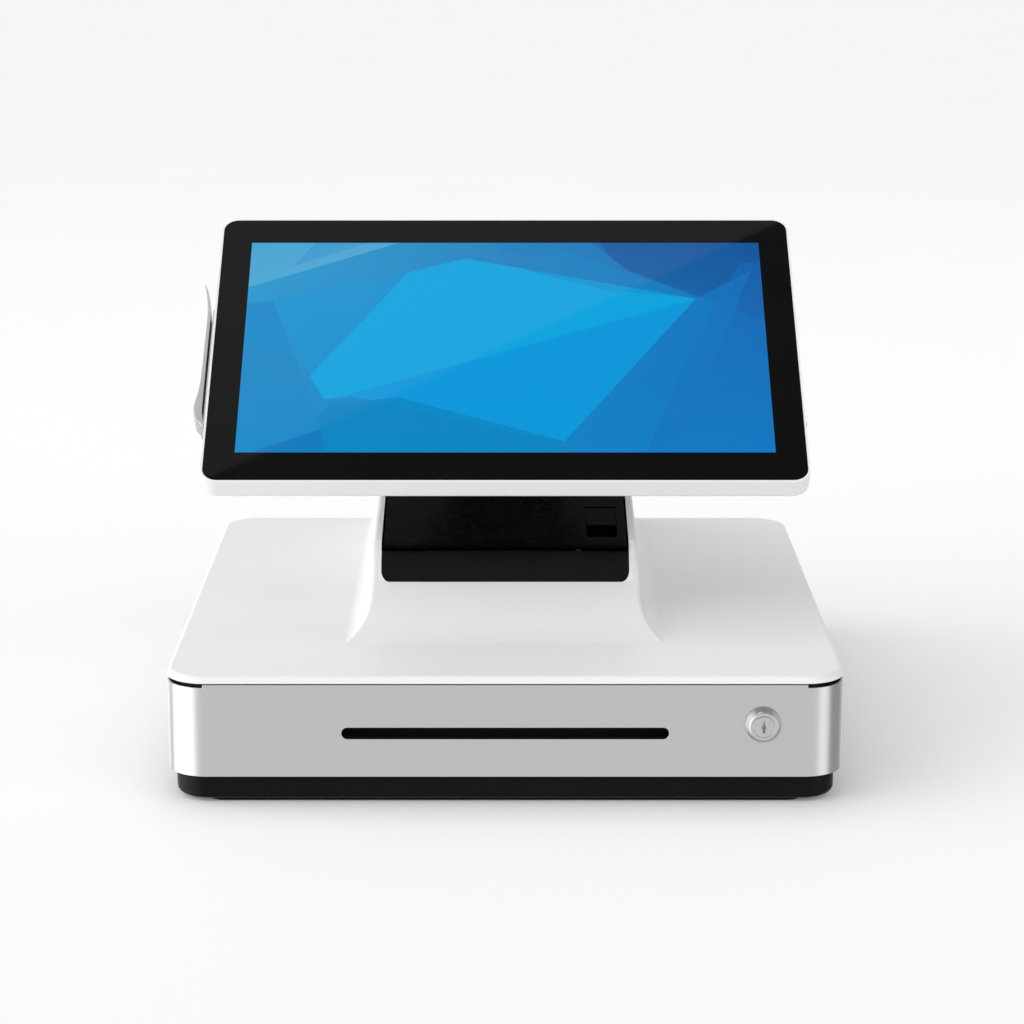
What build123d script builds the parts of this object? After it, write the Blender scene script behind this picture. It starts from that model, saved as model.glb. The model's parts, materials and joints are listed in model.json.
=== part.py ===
"""Countertop point-of-sale terminal: a cash drawer base, a receipt printer in its top cover and a tilting touchscreen.

Millimetres, +Z up, +X to the operator's right, +Y away from the operator. The origin is on the counter, under
the middle of the whole object.
"""
from build123d import *
from math import acos, atan2, cos, degrees, hypot, pi, radians, sin, tan
import os

os.makedirs("parts", exist_ok=True)

# ------------------------------------------------------------------ driving dimensions
base_width = 410.0
base_depth = 421.4
lock_proud = 6.0                                   # how far the lock stands out of the drawer front
front_y = lock_proud - (base_depth + lock_proud) / 2
rear_y = front_y + base_depth
base_mid_y = (front_y + rear_y) / 2
corner_radius = 25.0

# Levels of the base, upwards from the counter.
foot_top = 2.0
pan_top = 17.6
drawer_bottom = 17.9
deck_bottom = 69.0
deck_top = 70.5
band_top = 73.6
drawer_top = 75.5
lip_bottom = 76.2
cover_top = 80.6
cover_wall = 2.2

# Side profile of the hump on the top cover: a ramp, the steeper fascia, then the printer lid.
ramp_start_y = front_y + 65.6
ramp_angle = radians(22)
fascia_foot = (front_y + 139.8, 103.4)
lid_front = (front_y + 158.4, 126.4)
seam = (front_y + 154.2, 121.0)                    # where the paper comes out, between fascia and lid
lid_slope = 0.25
lid_rear_y = front_y + 255
hump_rear_y = rear_y - 8
hump_shoulder = (front_y + 325, 151.0)
hump_tail_z = 120.0
hump_half = 84.5                                   # half width near the top
hump_draft = radians(2.5)
hump_flare = 16.0                                  # radius of the flare at the hump's foot
well_half = 80.0                                   # half width of the printer's opening

# The screen: 15.6 inch, 16:9, leaning back.
active_width = 344.2
active_height = 193.6
lean = radians(54.46)                              # from the vertical
active_foot = (front_y + 137.4, 189.0)             # y, z of the active area's lower edge
glass_width = 383.3
glass_below = 23.2
glass_above = 22.4
glass_radius = 9.5
glass_thickness = 2.0
rim = 1.65                                         # housing seen round the glass
edge_depth = 16.0                                  # thickness of the housing at its edge
bulge_depth = 38.0
hinge_up = 108.0                                   # hinge axis, above the active area's lower edge
hinge_back = 58.0                                  # and behind the glass
hinge_radius = 4.0

# Drawer and its roller slides.
steel = 1.2
drawer_half = 180.0
drawer_floor = 20.5
drawer_box_top = 66.0
drawer_box_y = front_y + 9.5
drawer_rear_y = front_y + 372
chassis_half = 193.9
roller_radius = 9.0
roller_pin = 3.0
rail_z = 44.0
lock_x = 154.9
lock_z = 51.0
slot_z = 45.2
slot_width = 197.0
slot_height = 7.1

# Printer.
roll_axis = (6.0, 104.0)
roll_radius = 25.0
paper_width = 79.5
platen_axis = (-38.0, 114.0)
platen_radius = 6.0
gear_module = 0.6
lid_pin_axis = (lid_rear_y - 6, 141.5)

running_fit = 0.05
screw_radius = 1.5
screw_length = 6.0
screw_head = 2.8
screw_head_height = 1.8


# ------------------------------------------------------------------ helpers
def keep(part, label):
    """Names a finished piece and writes it."""
    part.label = label
    export_step(part, f"parts/{label}.step")


def block(low, high, mode=Mode.ADD):
    """A box between two corners, in the part being built."""
    middle = tuple((a + b) / 2 for a, b in zip(low, high))
    with Locations(middle):
        Box(*[b - a for a, b in zip(low, high)], mode=mode)


def rod_x(x_start, x_end, centre, radius, mode=Mode.ADD):
    """A cylinder along X, in the part being built. Centre is (y, z)."""
    with Locations(Location(((x_start + x_end) / 2, *centre), (0, 90, 0))):
        Cylinder(radius, abs(x_end - x_start), mode=mode)


def rod_y(y_start, y_end, centre, radius, mode=Mode.ADD):
    """A cylinder along Y, in the part being built. Centre is (x, z)."""
    with Locations(Location((centre[0], (y_start + y_end) / 2, centre[1]), (90, 0, 0))):
        Cylinder(radius, abs(y_end - y_start), mode=mode)


def side_plate(points, x_low, x_high, mode=Mode.ADD):
    """A plate with the outline points, in (y, z), between two values of x."""
    with BuildSketch(Plane.YZ.offset(x_low), mode=Mode.PRIVATE) as outline:
        with BuildLine():
            Polyline(*points, close=True)
        make_face()
    extrude(outline.sketch, amount=x_high - x_low, mode=mode)


def ring(inset, wall, z_low, z_high):
    """A wall that follows the base's plan, inset from it."""
    with BuildSketch(Plane.XY.offset(z_low)) as outline:
        with Locations((0, base_mid_y)):
            RectangleRounded(base_width - 2 * inset, base_depth - 2 * inset, corner_radius - inset)
            RectangleRounded(base_width - 2 * (inset + wall), base_depth - 2 * (inset + wall),
                             corner_radius - inset - wall, mode=Mode.SUBTRACT)
    extrude(outline.sketch, amount=z_high - z_low)


def lid_top(y):
    """Height of the printer lid's outer face at a depth y."""
    return lid_front[1] + (y - lid_front[0]) * lid_slope


def along(start, angle, length):
    """The point a length away from start, at an angle in radians."""
    return (start[0] + length * cos(angle), start[1] + length * sin(angle))


def heading(start, end):
    """The angle of the line from start to end, in radians."""
    return atan2(end[1] - start[1], end[0] - start[0])


def tangent_point(point, centre, radius, side):
    """Where a line from point touches a circle. Side is +1 or -1."""
    reach = hypot(centre[0] - point[0], centre[1] - point[1])
    return along(centre, heading(centre, point) + side * acos(radius / reach), radius)


def gear(teeth, centre, first_tooth, x_low, x_high, bore):
    """A spur gear about an axis along X, with one tooth's middle at the angle first_tooth."""
    pitch = teeth * gear_module / 2
    tip, root = pitch + 0.8 * gear_module, pitch - 1.2 * gear_module
    root_half, tip_half = 0.26 * 2 * pi / teeth, 0.1 * 2 * pi / teeth
    corners = []
    for tooth in range(teeth):
        middle = first_tooth + tooth * 2 * pi / teeth
        for reach, turn in ((root, -root_half), (tip, -tip_half), (tip, tip_half), (root, root_half)):
            corners.append(along(centre, middle + turn, reach))
    side_plate(corners, x_low, x_high)
    rod_x(x_low - 1, x_high + 1, centre, bore, mode=Mode.SUBTRACT)


def pan_head_screw(direction):
    """A pan-head screw from the location, its head's outer face there and its shank towards -Z or +Z."""
    rest = Align.MAX if direction < 0 else Align.MIN
    Cylinder(screw_head, screw_head_height, align=(Align.CENTER, Align.CENTER, rest))
    with Locations((0, 0, direction * screw_head_height)):
        Cylinder(screw_radius, screw_length, align=(Align.CENTER, Align.CENTER, rest))


# ------------------------------------------------------------------ base: feet, pan and chassis
foot_width = 362.0
foot_depth = 20.0
foot_inset = 19.0
pan_inset = 4.4
pan_edge = 4.5                                     # radius of its lower edge
pan_wall = 3.0
pan_half = base_width / 2 - pan_inset
screw_seat_z = pan_top - 4
pan_screws_at = [(x, base_mid_y + y) for x in (-150, 150) for y in (-150, 150)]
chassis_front_y = front_y + 14
chassis_rear_y = rear_y - 10
chassis_inner = chassis_half - steel
deck_screws_at = [(x, y) for x in (-187.5, 187.5) for y in (chassis_front_y + 70, base_mid_y, chassis_rear_y - 20)]

with BuildPart() as foot_strips:
    with BuildSketch(Plane.XY):
        with Locations((0, front_y + foot_inset), (0, rear_y - foot_inset)):
            SlotOverall(foot_width, foot_depth)
    extrude(amount=foot_top)
    chamfer(foot_strips.edges().group_by(Axis.Z)[0], length=0.6)
keep(foot_strips.part, "foot_strips")

with BuildPart() as base_pan:
    with BuildSketch(Plane.XY.offset(foot_top)):
        with Locations((0, base_mid_y)):
            RectangleRounded(2 * pan_half, base_depth - 2 * pan_inset, corner_radius - 4)
    extrude(amount=pan_top - foot_top)
    fillet(base_pan.edges().group_by(Axis.Z)[0], radius=pan_edge)
    with BuildSketch(Plane.XY.offset(foot_top + pan_wall)):
        with Locations((0, base_mid_y)):
            RectangleRounded(2 * (pan_half - pan_wall), base_depth - 2 * (pan_inset + pan_wall), corner_radius - 7)
    extrude(amount=pan_top, mode=Mode.SUBTRACT)
    for x in (-100, 0, 100):                       # stiffening ribs
        block((x - 1.5, front_y + pan_inset + 2, foot_top + 1), (x + 1.5, rear_y - pan_inset - 2, pan_top))
    for x, y in pan_screws_at:
        with Locations((x, y, foot_top + 1)):
            Cylinder(6, pan_top - foot_top - 1, align=(Align.CENTER, Align.CENTER, Align.MIN))
        with Locations((x, y, 0)):
            Cylinder(screw_head + 0.4, screw_seat_z, align=(Align.CENTER, Align.CENTER, Align.MIN),
                     mode=Mode.SUBTRACT)
            Cylinder(screw_radius, pan_top + 1, align=(Align.CENTER, Align.CENTER, Align.MIN), mode=Mode.SUBTRACT)
keep(base_pan.part, "base_pan")

with BuildPart() as chassis_tray:
    block((-chassis_half, chassis_front_y, pan_top), (chassis_half, chassis_rear_y, deck_bottom))
    fillet(chassis_tray.edges().filter_by(Axis.Z).group_by(Axis.Y)[-1], radius=10)
    block((-chassis_inner, chassis_front_y - 1, pan_top + steel),
          (chassis_inner, chassis_rear_y - steel, deck_bottom + 1), mode=Mode.SUBTRACT)
    for side in (-1, 1):                           # folded ears that carry the deck
        for y in {y for x, y in deck_screws_at}:
            inner, outer = sorted((side * 182.5, side * chassis_inner))
            block((inner, y - 8, deck_bottom - 2), (outer, y + 8, deck_bottom))
    for x, y in deck_screws_at + pan_screws_at:
        with Locations((x, y, 45)):
            Cylinder(screw_radius, 70, mode=Mode.SUBTRACT)
keep(chassis_tray.part, "chassis_tray")

cam_reach = 22.0
cam_y = (front_y + 25, front_y + 27.5)
bracket_screws_at = [(x, y) for x in (-16, 16) for y in (front_y + 276, front_y + 300)]
printer_screws_at = [(x, y) for x in (-60, 60) for y in (front_y + 152, front_y + 236)]
with BuildPart() as deck_plate:
    block((-chassis_half, chassis_front_y, deck_bottom), (chassis_half, chassis_rear_y, deck_top))
    block((lock_x - cam_reach, cam_y[0] - 1.5, deck_bottom - 1), (lock_x + 7, cam_y[1] + 1.5, deck_top + 1),
          mode=Mode.SUBTRACT)
    for x, y in deck_screws_at + bracket_screws_at + printer_screws_at:
        with Locations((x, y, deck_top)):
            Cylinder(screw_radius, 5, mode=Mode.SUBTRACT)
keep(deck_plate.part, "deck_plate")

foot_plate = 3.0                                   # floor of the printer's frame and of the neck's bracket
with BuildPart() as case_screws:
    for x, y in deck_screws_at:
        with Locations((x, y, deck_top + screw_head_height)):
            pan_head_screw(-1)
    for x, y in bracket_screws_at + printer_screws_at:
        with Locations((x, y, deck_top + foot_plate + screw_head_height)):
            pan_head_screw(-1)
    for x, y in pan_screws_at:
        with Locations((x, y, screw_seat_z - screw_head_height)):
            pan_head_screw(1)
keep(case_screws.part, "case_screws")

# ------------------------------------------------------------------ base: silver band, shadow-gap frame, top cover
band_front_y = front_y + 31
sheet = 1.5

with BuildPart() as case_band:
    ring(0, sheet, pan_top, band_top)
    ring(sheet, 5, pan_top, pan_top + steel)
    block((-base_width, front_y - 5, 0), (base_width, band_front_y, cover_top), mode=Mode.SUBTRACT)
    for x in (-120, 120):                          # cable holes in the rear wall
        rod_y(rear_y - 5, rear_y + 5, (x, pan_top + 24), 8, mode=Mode.SUBTRACT)
keep(case_band.part, "case_band")

frame_bottom = deck_top
with BuildPart() as shadow_frame:
    ring(5.5, 15, frame_bottom, cover_top - cover_wall)
    block((-base_width, front_y, 0), (base_width, front_y + 13.5, frame_bottom), mode=Mode.SUBTRACT)
    block((lock_x - cam_reach, cam_y[0] - 1.5, 0), (lock_x + 7, cam_y[1] + 1.5, 74.5), mode=Mode.SUBTRACT)
    for x, y in deck_screws_at:
        with Locations((x, y, frame_bottom)):
            Cylinder(screw_head + 1, 6, mode=Mode.SUBTRACT)
keep(shadow_frame.part, "shadow_frame")

hump_foot_z = cover_top - 0.15                     # a little below the flat top, so that the skins cross cleanly
ramp_rise = fascia_foot[1] - hump_foot_z
ramp_run = fascia_foot[0] - ramp_start_y
ramp_radius = (ramp_rise - ramp_run * tan(ramp_angle)) / (1 - cos(ramp_angle) - sin(ramp_angle) * tan(ramp_angle))
ramp_centre = (ramp_start_y, hump_foot_z + ramp_radius)


def hump_profile(inset, floor):
    """The hump's side outline, drawn in from its outer skin by inset."""
    with BuildSketch(Plane.YZ) as profile:
        with BuildLine():
            Polyline((ramp_start_y, hump_foot_z), (ramp_start_y, floor), (hump_rear_y, floor),
                     (hump_rear_y, hump_tail_z), hump_shoulder, (lid_rear_y + 6, lid_top(lid_rear_y + 6)),
                     lid_front, fascia_foot, along(ramp_centre, ramp_angle - pi / 2, ramp_radius))
            CenterArc(ramp_centre, ramp_radius, -90, degrees(ramp_angle))
        make_face()
        if inset:
            offset(amount=-inset, kind=Kind.INTERSECTION, mode=Mode.REPLACE)
    return profile.sketch


def hump_section(inset, floor):
    """The hump's front outline: drafted sides that flare into the cover's flat top."""
    flare = hump_flare + inset
    arc_top_z = hump_foot_z + hump_flare - flare * sin(hump_draft)
    half = hump_half - inset + (150 - arc_top_z) * tan(hump_draft)
    toe = half + flare * cos(hump_draft)
    top_z = 170
    top_half = half - (top_z - arc_top_z) * tan(hump_draft)
    with BuildSketch(Plane.XZ.offset(-rear_y)) as section:
        with BuildLine():
            Polyline((0, floor), (toe, floor), (toe, hump_foot_z - inset))
            TangentArc((toe, hump_foot_z - inset), (half, arc_top_z), tangent=(-1, 0))
            Polyline((half, arc_top_z), (top_half, top_z), (0, top_z), (0, floor))
        make_face()
        mirror(about=Plane.YZ)
    return section.sketch


with BuildPart() as hump_cavity:
    extrude(hump_profile(cover_wall, lip_bottom - 6), amount=130, both=True)
    extrude(hump_section(cover_wall, lip_bottom - 6), amount=base_depth, mode=Mode.INTERSECT)

crest_radius = 3.0
well_corner = 5.5                                  # radius of the opening's two front corners, in plan
neck_half = 40.0
neck_foot_y = (front_y + 265, front_y + 313)
port_opening = (-70, 70, 86, 112)                  # x low, x high, z low, z high in the hump's rear wall



def well_prism(inset, z_low, mode):
    """The printer's opening in plan, drawn in by inset, from a level upwards."""
    y_low, y_high = fascia_foot[0] + inset, lid_rear_y + 3 - inset
    half, corner = well_half - inset, well_corner - inset
    with BuildSketch(Plane.XY.offset(z_low)) as outline:
        with Locations((0, (y_low + y_high) / 2)):
            Rectangle(2 * half, y_high - y_low)
        fillet(outline.vertices().group_by(Axis.Y)[0], radius=corner)
    extrude(outline.sketch, amount=200 - z_low, mode=mode)


with BuildPart() as top_cover:
    extrude(hump_profile(0, lip_bottom), amount=130, both=True)
    extrude(hump_section(0, lip_bottom), amount=base_depth, mode=Mode.INTERSECT)
    crest = top_cover.edges().filter_by(
        lambda edge: abs(edge.center().X) > 70 and edge.center().Z > cover_top + 4
        and edge.center().Y < hump_rear_y - 1 and edge.length < base_depth / 2
    )
    fillet(crest, radius=crest_radius)
    with BuildSketch(Plane.XY.offset(lip_bottom)):
        with Locations((0, base_mid_y)):
            RectangleRounded(base_width, base_depth, corner_radius)
    extrude(amount=cover_top - lip_bottom)
    fillet(
        top_cover.edges().filter_by_position(Axis.Z, cover_top - 0.01, cover_top + 0.01).filter_by(
            lambda edge: abs(edge.center().X) > 150 or abs(edge.center().Y - base_mid_y) > base_depth / 2 - 1
        ),
        radius=3.2,
    )
    with BuildSketch(Plane.XY.offset(lip_bottom)):
        with Locations((0, base_mid_y)):
            RectangleRounded(base_width - 8, base_depth - 8, corner_radius - 4)
    extrude(amount=cover_top - cover_wall - lip_bottom, mode=Mode.SUBTRACT)
    add(hump_cavity.part, mode=Mode.SUBTRACT)
    well_prism(0, cover_top, Mode.SUBTRACT)
    block((-neck_half - 0.5, neck_foot_y[0] - 0.5, cover_top), (neck_half + 0.5, neck_foot_y[1] + 0.5, 200),
          mode=Mode.SUBTRACT)
    block((port_opening[0], hump_rear_y - 5, port_opening[2]), (port_opening[1], hump_rear_y + 5, port_opening[3]),
          mode=Mode.SUBTRACT)
keep(top_cover.part, "top_cover")

# ------------------------------------------------------------------ drawer
rail_gap = 0.3
rail_half = roller_radius + rail_gap
slide_outer_x = (186.4, chassis_inner)
slide_inner_x = (drawer_half, 185.9)
front_roller_y = chassis_front_y + 26
rear_roller_y = drawer_rear_y - 14


def rail(web, lips, y_low, y_high):
    """A C-channel along Y on both sides: web is its upright's x range, lips the x range of its flanges."""
    for side in (-1, 1):
        for (a, b), z_low, z_high in (
            (web, rail_z - rail_half - steel, rail_z + rail_half + steel),
            (lips, rail_z + rail_half, rail_z + rail_half + steel),
            (lips, rail_z - rail_half - steel, rail_z - rail_half),
        ):
            low, high = sorted((side * a, side * b))
            block((low, y_low, z_low), (high, y_high, z_high))


def both_sides_rod(x_low, x_high, centre, radius, mode=Mode.ADD):
    """The same rod along X on the left and on the right."""
    for side in (-1, 1):
        low, high = sorted((side * x_low, side * x_high))
        rod_x(low, high, centre, radius, mode=mode)


with BuildPart() as fixed_rails:
    rail((chassis_inner - steel, chassis_inner), slide_outer_x, chassis_front_y + 4, drawer_rear_y + 6)
    both_sides_rod(181.7, chassis_inner, (front_roller_y, rail_z), roller_pin)
keep(fixed_rails.part, "fixed_rails")

with BuildPart() as drawer_rails:
    rail((drawer_half, drawer_half + steel), slide_inner_x, drawer_box_y + 6, drawer_rear_y - 2)
    both_sides_rod(drawer_half, 191.1, (rear_roller_y, rail_z), roller_pin)
keep(drawer_rails.part, "drawer_rails")

with BuildPart() as front_rollers:
    both_sides_rod(181.8, 185.8, (front_roller_y, rail_z), roller_radius)
    both_sides_rod(181, 190, (front_roller_y, rail_z), roller_pin + running_fit, mode=Mode.SUBTRACT)
keep(front_rollers.part, "front_rollers")

with BuildPart() as rear_rollers:
    both_sides_rod(187.0, 191.0, (rear_roller_y, rail_z), roller_radius)
    both_sides_rod(181, 192, (rear_roller_y, rail_z), roller_pin + running_fit, mode=Mode.SUBTRACT)
keep(rear_rollers.part, "rear_rollers")


# Behind the slot in the drawer front, the carrier and the box are cut away to their tops, so that slips drop in.
slip_half = slot_width / 2 + 3
slip_sill = slot_z - slot_height / 2 - 1
lock_axis = (lock_x, lock_z)
barrel_radius = 9.0
plug_radius = 6.4
flange_radius = 10.9
lock_front_y = front_y - lock_proud
barrel_rear_y = front_y + 23
corner_step_x = 181.5

with BuildPart() as drawer_front:
    ring(0, sheet, drawer_bottom, drawer_top)
    block((-base_width, band_front_y - 1.2, 0), (base_width, rear_y + 5, cover_top), mode=Mode.SUBTRACT)
    for side in (-1, 1):
        low, high = sorted((side * corner_step_x, side * base_width))
        block((low, front_y - 5, band_top), (high, band_front_y, cover_top), mode=Mode.SUBTRACT)
    with BuildSketch(Plane.XZ.offset(-front_y - 5)) as media_slot:
        with Locations((0, slot_z)):
            SlotOverall(slot_width, slot_height)
    extrude(media_slot.sketch, amount=10, mode=Mode.SUBTRACT)
    rod_y(front_y - 5, front_y + 5, lock_axis, barrel_radius, mode=Mode.SUBTRACT)
keep(drawer_front.part, "drawer_front")

with BuildPart() as front_carrier:
    ring(sheet, 6, drawer_bottom + 1, deck_bottom - 0.6)
    block((-base_width, front_y + 12, 0), (base_width, rear_y + 5, cover_top), mode=Mode.SUBTRACT)
    block((-178, front_y + 7, drawer_bottom + 2.6), (178, drawer_box_y, drawer_box_top))
    block((-slip_half, front_y, slip_sill), (slip_half, front_y + 20, deck_bottom), mode=Mode.SUBTRACT)
    rod_y(front_y, front_y + 20, lock_axis, barrel_radius, mode=Mode.SUBTRACT)
keep(front_carrier.part, "front_carrier")

with BuildPart() as drawer_box:
    block((-drawer_half, drawer_box_y, drawer_floor), (drawer_half, drawer_rear_y, drawer_box_top))
    block((-drawer_half + steel, drawer_box_y + steel, drawer_floor + steel),
          (drawer_half - steel, drawer_rear_y - steel, drawer_box_top + 1), mode=Mode.SUBTRACT)
    block((-slip_half, drawer_box_y - 5, slip_sill), (slip_half, drawer_box_y + 5, deck_bottom), mode=Mode.SUBTRACT)
    rod_y(drawer_box_y - 5, drawer_box_y + 5, lock_axis, barrel_radius + 0.4, mode=Mode.SUBTRACT)
    block((-10, drawer_rear_y + 0.1, 30), (14, drawer_rear_y + 14, 42))  # striker that the latch catches
    block((13, drawer_rear_y + 11, 30), (22, drawer_rear_y + 14, 42))
keep(drawer_box.part, "drawer_box")

# The tray for notes and coins. It stands on feet, so that slips posted through the slot lie flat below it.
tray_front_y = front_y + 36
tray_rear_y = drawer_rear_y - 4
tray_half = 176.0
tray_wall = 2.0
tray_floor = 29.0
tray_top = 62.0
bay_split_y = tray_front_y + 150
coin_cups = 5
note_bays = 4
rod_axis = (tray_rear_y - 9, 57.5)
bill_rod_radius = 2.0


def pockets(count, y_low, y_high, floor):
    """Cuts a row of equal pockets across the tray."""
    pitch = (2 * tray_half - tray_wall) / count
    for pocket in range(count):
        x_low = -tray_half + tray_wall + pocket * pitch
        block((x_low, y_low, floor), (x_low + pitch - tray_wall, y_high, tray_top + 1), mode=Mode.SUBTRACT)


with BuildPart() as cash_tray:
    block((-tray_half, tray_front_y, tray_floor), (tray_half, tray_rear_y, tray_top))
    fillet(cash_tray.edges().filter_by(Axis.Z), radius=6)
    pockets(coin_cups, tray_front_y + tray_wall, bay_split_y - tray_wall, tray_floor + tray_wall)
    pockets(note_bays, bay_split_y, tray_rear_y - tray_wall, tray_floor + tray_wall)
    for x in (-168, 0, 168):
        for y in (tray_front_y + 8, bay_split_y, tray_rear_y - 8):
            block((x - 5, y - 5, drawer_floor + steel), (x + 5, y + 5, tray_floor))
    rod_x(-tray_half + 0.5, tray_half - 0.5, rod_axis, bill_rod_radius, mode=Mode.SUBTRACT)
keep(cash_tray.part, "cash_tray")

with BuildPart() as bill_rod:
    rod_x(-tray_half + 0.5, tray_half - 0.5, rod_axis, bill_rod_radius)
keep(bill_rod.part, "bill_rod")

paddle_length = 122.0
paddle_drop = 25.2
bay_pitch = (2 * tray_half - tray_wall) / note_bays
for bay in range(note_bays):
    bay_x = -tray_half + tray_wall / 2 + (bay + 0.5) * bay_pitch
    y_pivot, z_pivot = rod_axis
    tip_y, tip_z = y_pivot - paddle_length, z_pivot - paddle_drop
    with BuildPart() as bill_weight:
        rod_x(bay_x - 8, bay_x + 8, rod_axis, 4)
        side_plate([(y_pivot, z_pivot + 3), (tip_y + 26, tip_z + 2.4), (tip_y + 2, tip_z + 2.4), (tip_y, tip_z + 4),
                    (tip_y, tip_z + 1), (tip_y + 1, tip_z), (tip_y + 27, tip_z), (y_pivot, z_pivot - 1)],
                   bay_x - 6, bay_x + 6)
        side_plate([(tip_y + 26, tip_z + 2.2), (tip_y, tip_z + 2.2), (tip_y - 3, tip_z + 5), (tip_y - 4, tip_z + 4),
                    (tip_y - 1, tip_z), (tip_y + 26, tip_z)], bay_x - 24, bay_x + 24)
        rod_x(bay_x - 20, bay_x + 20, rod_axis, bill_rod_radius + running_fit, mode=Mode.SUBTRACT)
    keep(bill_weight.part, f"bill_weight_{bay + 1}")

# Lock: the barrel is fixed in the drawer front, the plug turns in it and carries the cam.
with BuildPart() as lock_barrel:
    with BuildSketch(Plane.YZ.offset(lock_x)):
        with BuildLine():
            Polyline((lock_front_y, lock_z), (lock_front_y, lock_z + 8.5), (front_y - 1.6, lock_z + flange_radius),
                     (front_y, lock_z + flange_radius), (front_y, lock_z + barrel_radius),
                     (barrel_rear_y, lock_z + barrel_radius), (barrel_rear_y, lock_z), close=True)
        make_face()
    revolve(axis=Axis((lock_x, 0, lock_z), (0, 1, 0)))
    rod_y(lock_front_y - 1, barrel_rear_y + 1, lock_axis, plug_radius + running_fit, mode=Mode.SUBTRACT)
keep(lock_barrel.part, "lock_barrel")

with BuildPart() as lock_plug:
    rod_y(lock_front_y, barrel_rear_y + 5.5, lock_axis, plug_radius)
    block((lock_x - 0.8, lock_front_y - 1, lock_z - 3.6), (lock_x + 0.8, lock_front_y + 8, lock_z + 3.6),
          mode=Mode.SUBTRACT)
    rod_y(lock_front_y - 1, lock_front_y + 3, lock_axis, 1.5, mode=Mode.SUBTRACT)
    rod_y(cam_y[0], barrel_rear_y + 6, lock_axis, plug_radius + 1, mode=Mode.SUBTRACT)
    rod_y(cam_y[0] - 0.5, barrel_rear_y + 5.5, lock_axis, 4)
keep(lock_plug.part, "lock_plug")

with BuildPart() as lock_cam:
    block((lock_x - cam_reach + 0.6, cam_y[0], lock_z - 4), (lock_x, cam_y[1], lock_z + 4))
    rod_y(cam_y[0], cam_y[1], lock_axis, 7)
    rod_y(cam_y[0] - 1, cam_y[1] + 1, lock_axis, 4, mode=Mode.SUBTRACT)
keep(lock_cam.part, "lock_cam")

# Electric latch behind the drawer: a hook that catches the drawer's striker, its solenoid, and a sprung ejector.
hook_pivot = (34.0, drawer_rear_y + 30)
hook_z = (34.0, 38.0)
ejector_axis = (-60.0, 42.0)
ejector_radius = 4.0
latch_floor = pan_top + steel
with BuildPart() as latch_base:
    block((-78, drawer_rear_y + 4, latch_floor), (98, chassis_rear_y - steel, latch_floor + 1.5))
    with Locations((*hook_pivot, latch_floor)):
        Cylinder(6, hook_z[0] - 0.3 - latch_floor, align=(Align.CENTER, Align.CENTER, Align.MIN))
        Cylinder(2.5, hook_z[1] + 1.5 - latch_floor, align=(Align.CENTER, Align.CENTER, Align.MIN))
    block((-70, drawer_rear_y + 9, latch_floor), (-50, drawer_rear_y + 33.5, 51))
    rod_y(drawer_rear_y + 8, drawer_rear_y + 32, ejector_axis, ejector_radius + running_fit, mode=Mode.SUBTRACT)
keep(latch_base.part, "latch_base")

with BuildPart() as latch_hook:
    with BuildSketch(Plane.XY.offset(hook_z[0])):
        with Locations(hook_pivot):
            Circle(5.5)
        with BuildLine():
            x, y = hook_pivot
            Polyline((x - 4, y), (x - 4, y - 22), (x - 11.2, y - 24), (x - 11.2, y - 27.4), (x + 4, y - 27.4),
                     (x + 4, y), close=True)
        make_face()
        with Locations(hook_pivot):
            Circle(2.5 + running_fit, mode=Mode.SUBTRACT)
    extrude(amount=hook_z[1] - hook_z[0])
keep(latch_hook.part, "latch_hook")

plunger_y = hook_pivot[1] - 12
coil_x = (58.0, 92.0)
with BuildPart() as solenoid:
    block((coil_x[0], plunger_y - 9, latch_floor + 1.5), (coil_x[1], plunger_y + 11, 46))
    with Locations(Location(((coil_x[0] + coil_x[1]) / 2 - 2, plunger_y, 36), (0, 90, 0))):
        Cylinder(3 + running_fit, coil_x[1] - coil_x[0], mode=Mode.SUBTRACT)
keep(solenoid.part, "solenoid")

with BuildPart() as solenoid_plunger:
    rod_x(hook_pivot[0] + 5.1, coil_x[0] + 24, (plunger_y, 36), 3)
keep(solenoid_plunger.part, "solenoid_plunger")

with BuildPart() as ejector_plunger:
    rod_y(drawer_rear_y + 0.5, drawer_rear_y + 22, ejector_axis, ejector_radius)
keep(ejector_plunger.part, "ejector_plunger")

# ------------------------------------------------------------------ receipt printer
paper_half = paper_width / 2
frame_half = 68.0
frame_wall = 3.0
bucket_radius = roll_radius + 1.5
head_gap = 0.5                                     # between the platen and the paper
paper_thickness = 0.3
lid_pin_radius = 2.0
gear_x = (45.0, 50.0)
platen_teeth, idler_teeth, pinion_teeth = 24, 24, 12
mesh_slack = 0.15

# The lid's front rises and moves forward as it opens, so the idler stands right behind the platen gear's path.
opening = heading(lid_pin_axis, platen_axis) - pi / 2
to_idler = opening + pi
idler_axis = along(platen_axis, to_idler, (platen_teeth + idler_teeth) * gear_module / 2 + mesh_slack)
to_pinion = radians(216)
pinion_axis = along(idler_axis, to_pinion, (idler_teeth + pinion_teeth) * gear_module / 2 + mesh_slack)
idler_phase = to_idler + pi + pi / idler_teeth
idler_pitch = 2 * pi / idler_teeth
idler_lead = (to_pinion - idler_phase) % idler_pitch
pinion_phase = to_pinion + pi + pi / pinion_teeth + idler_lead * idler_teeth / pinion_teeth

# The paper leaves the roll's underside, runs below the platen and climbs to the cutter.
web_low_z = platen_axis[1] - platen_radius - head_gap - paper_thickness / 2
web_turn = (platen_axis[0] - 4, web_low_z)
web_rise = radians(127)
web_end = along(web_turn, web_rise, 9.5)
web_flat_start = (platen_axis[0] + 7, web_low_z)
web_start = tangent_point(web_flat_start, roll_axis, roll_radius + 0.5, 1)
blade_heading = web_rise - pi / 2
blade_point = along(web_end, web_rise, 1.6)
blade_travel = 4.0


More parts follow.
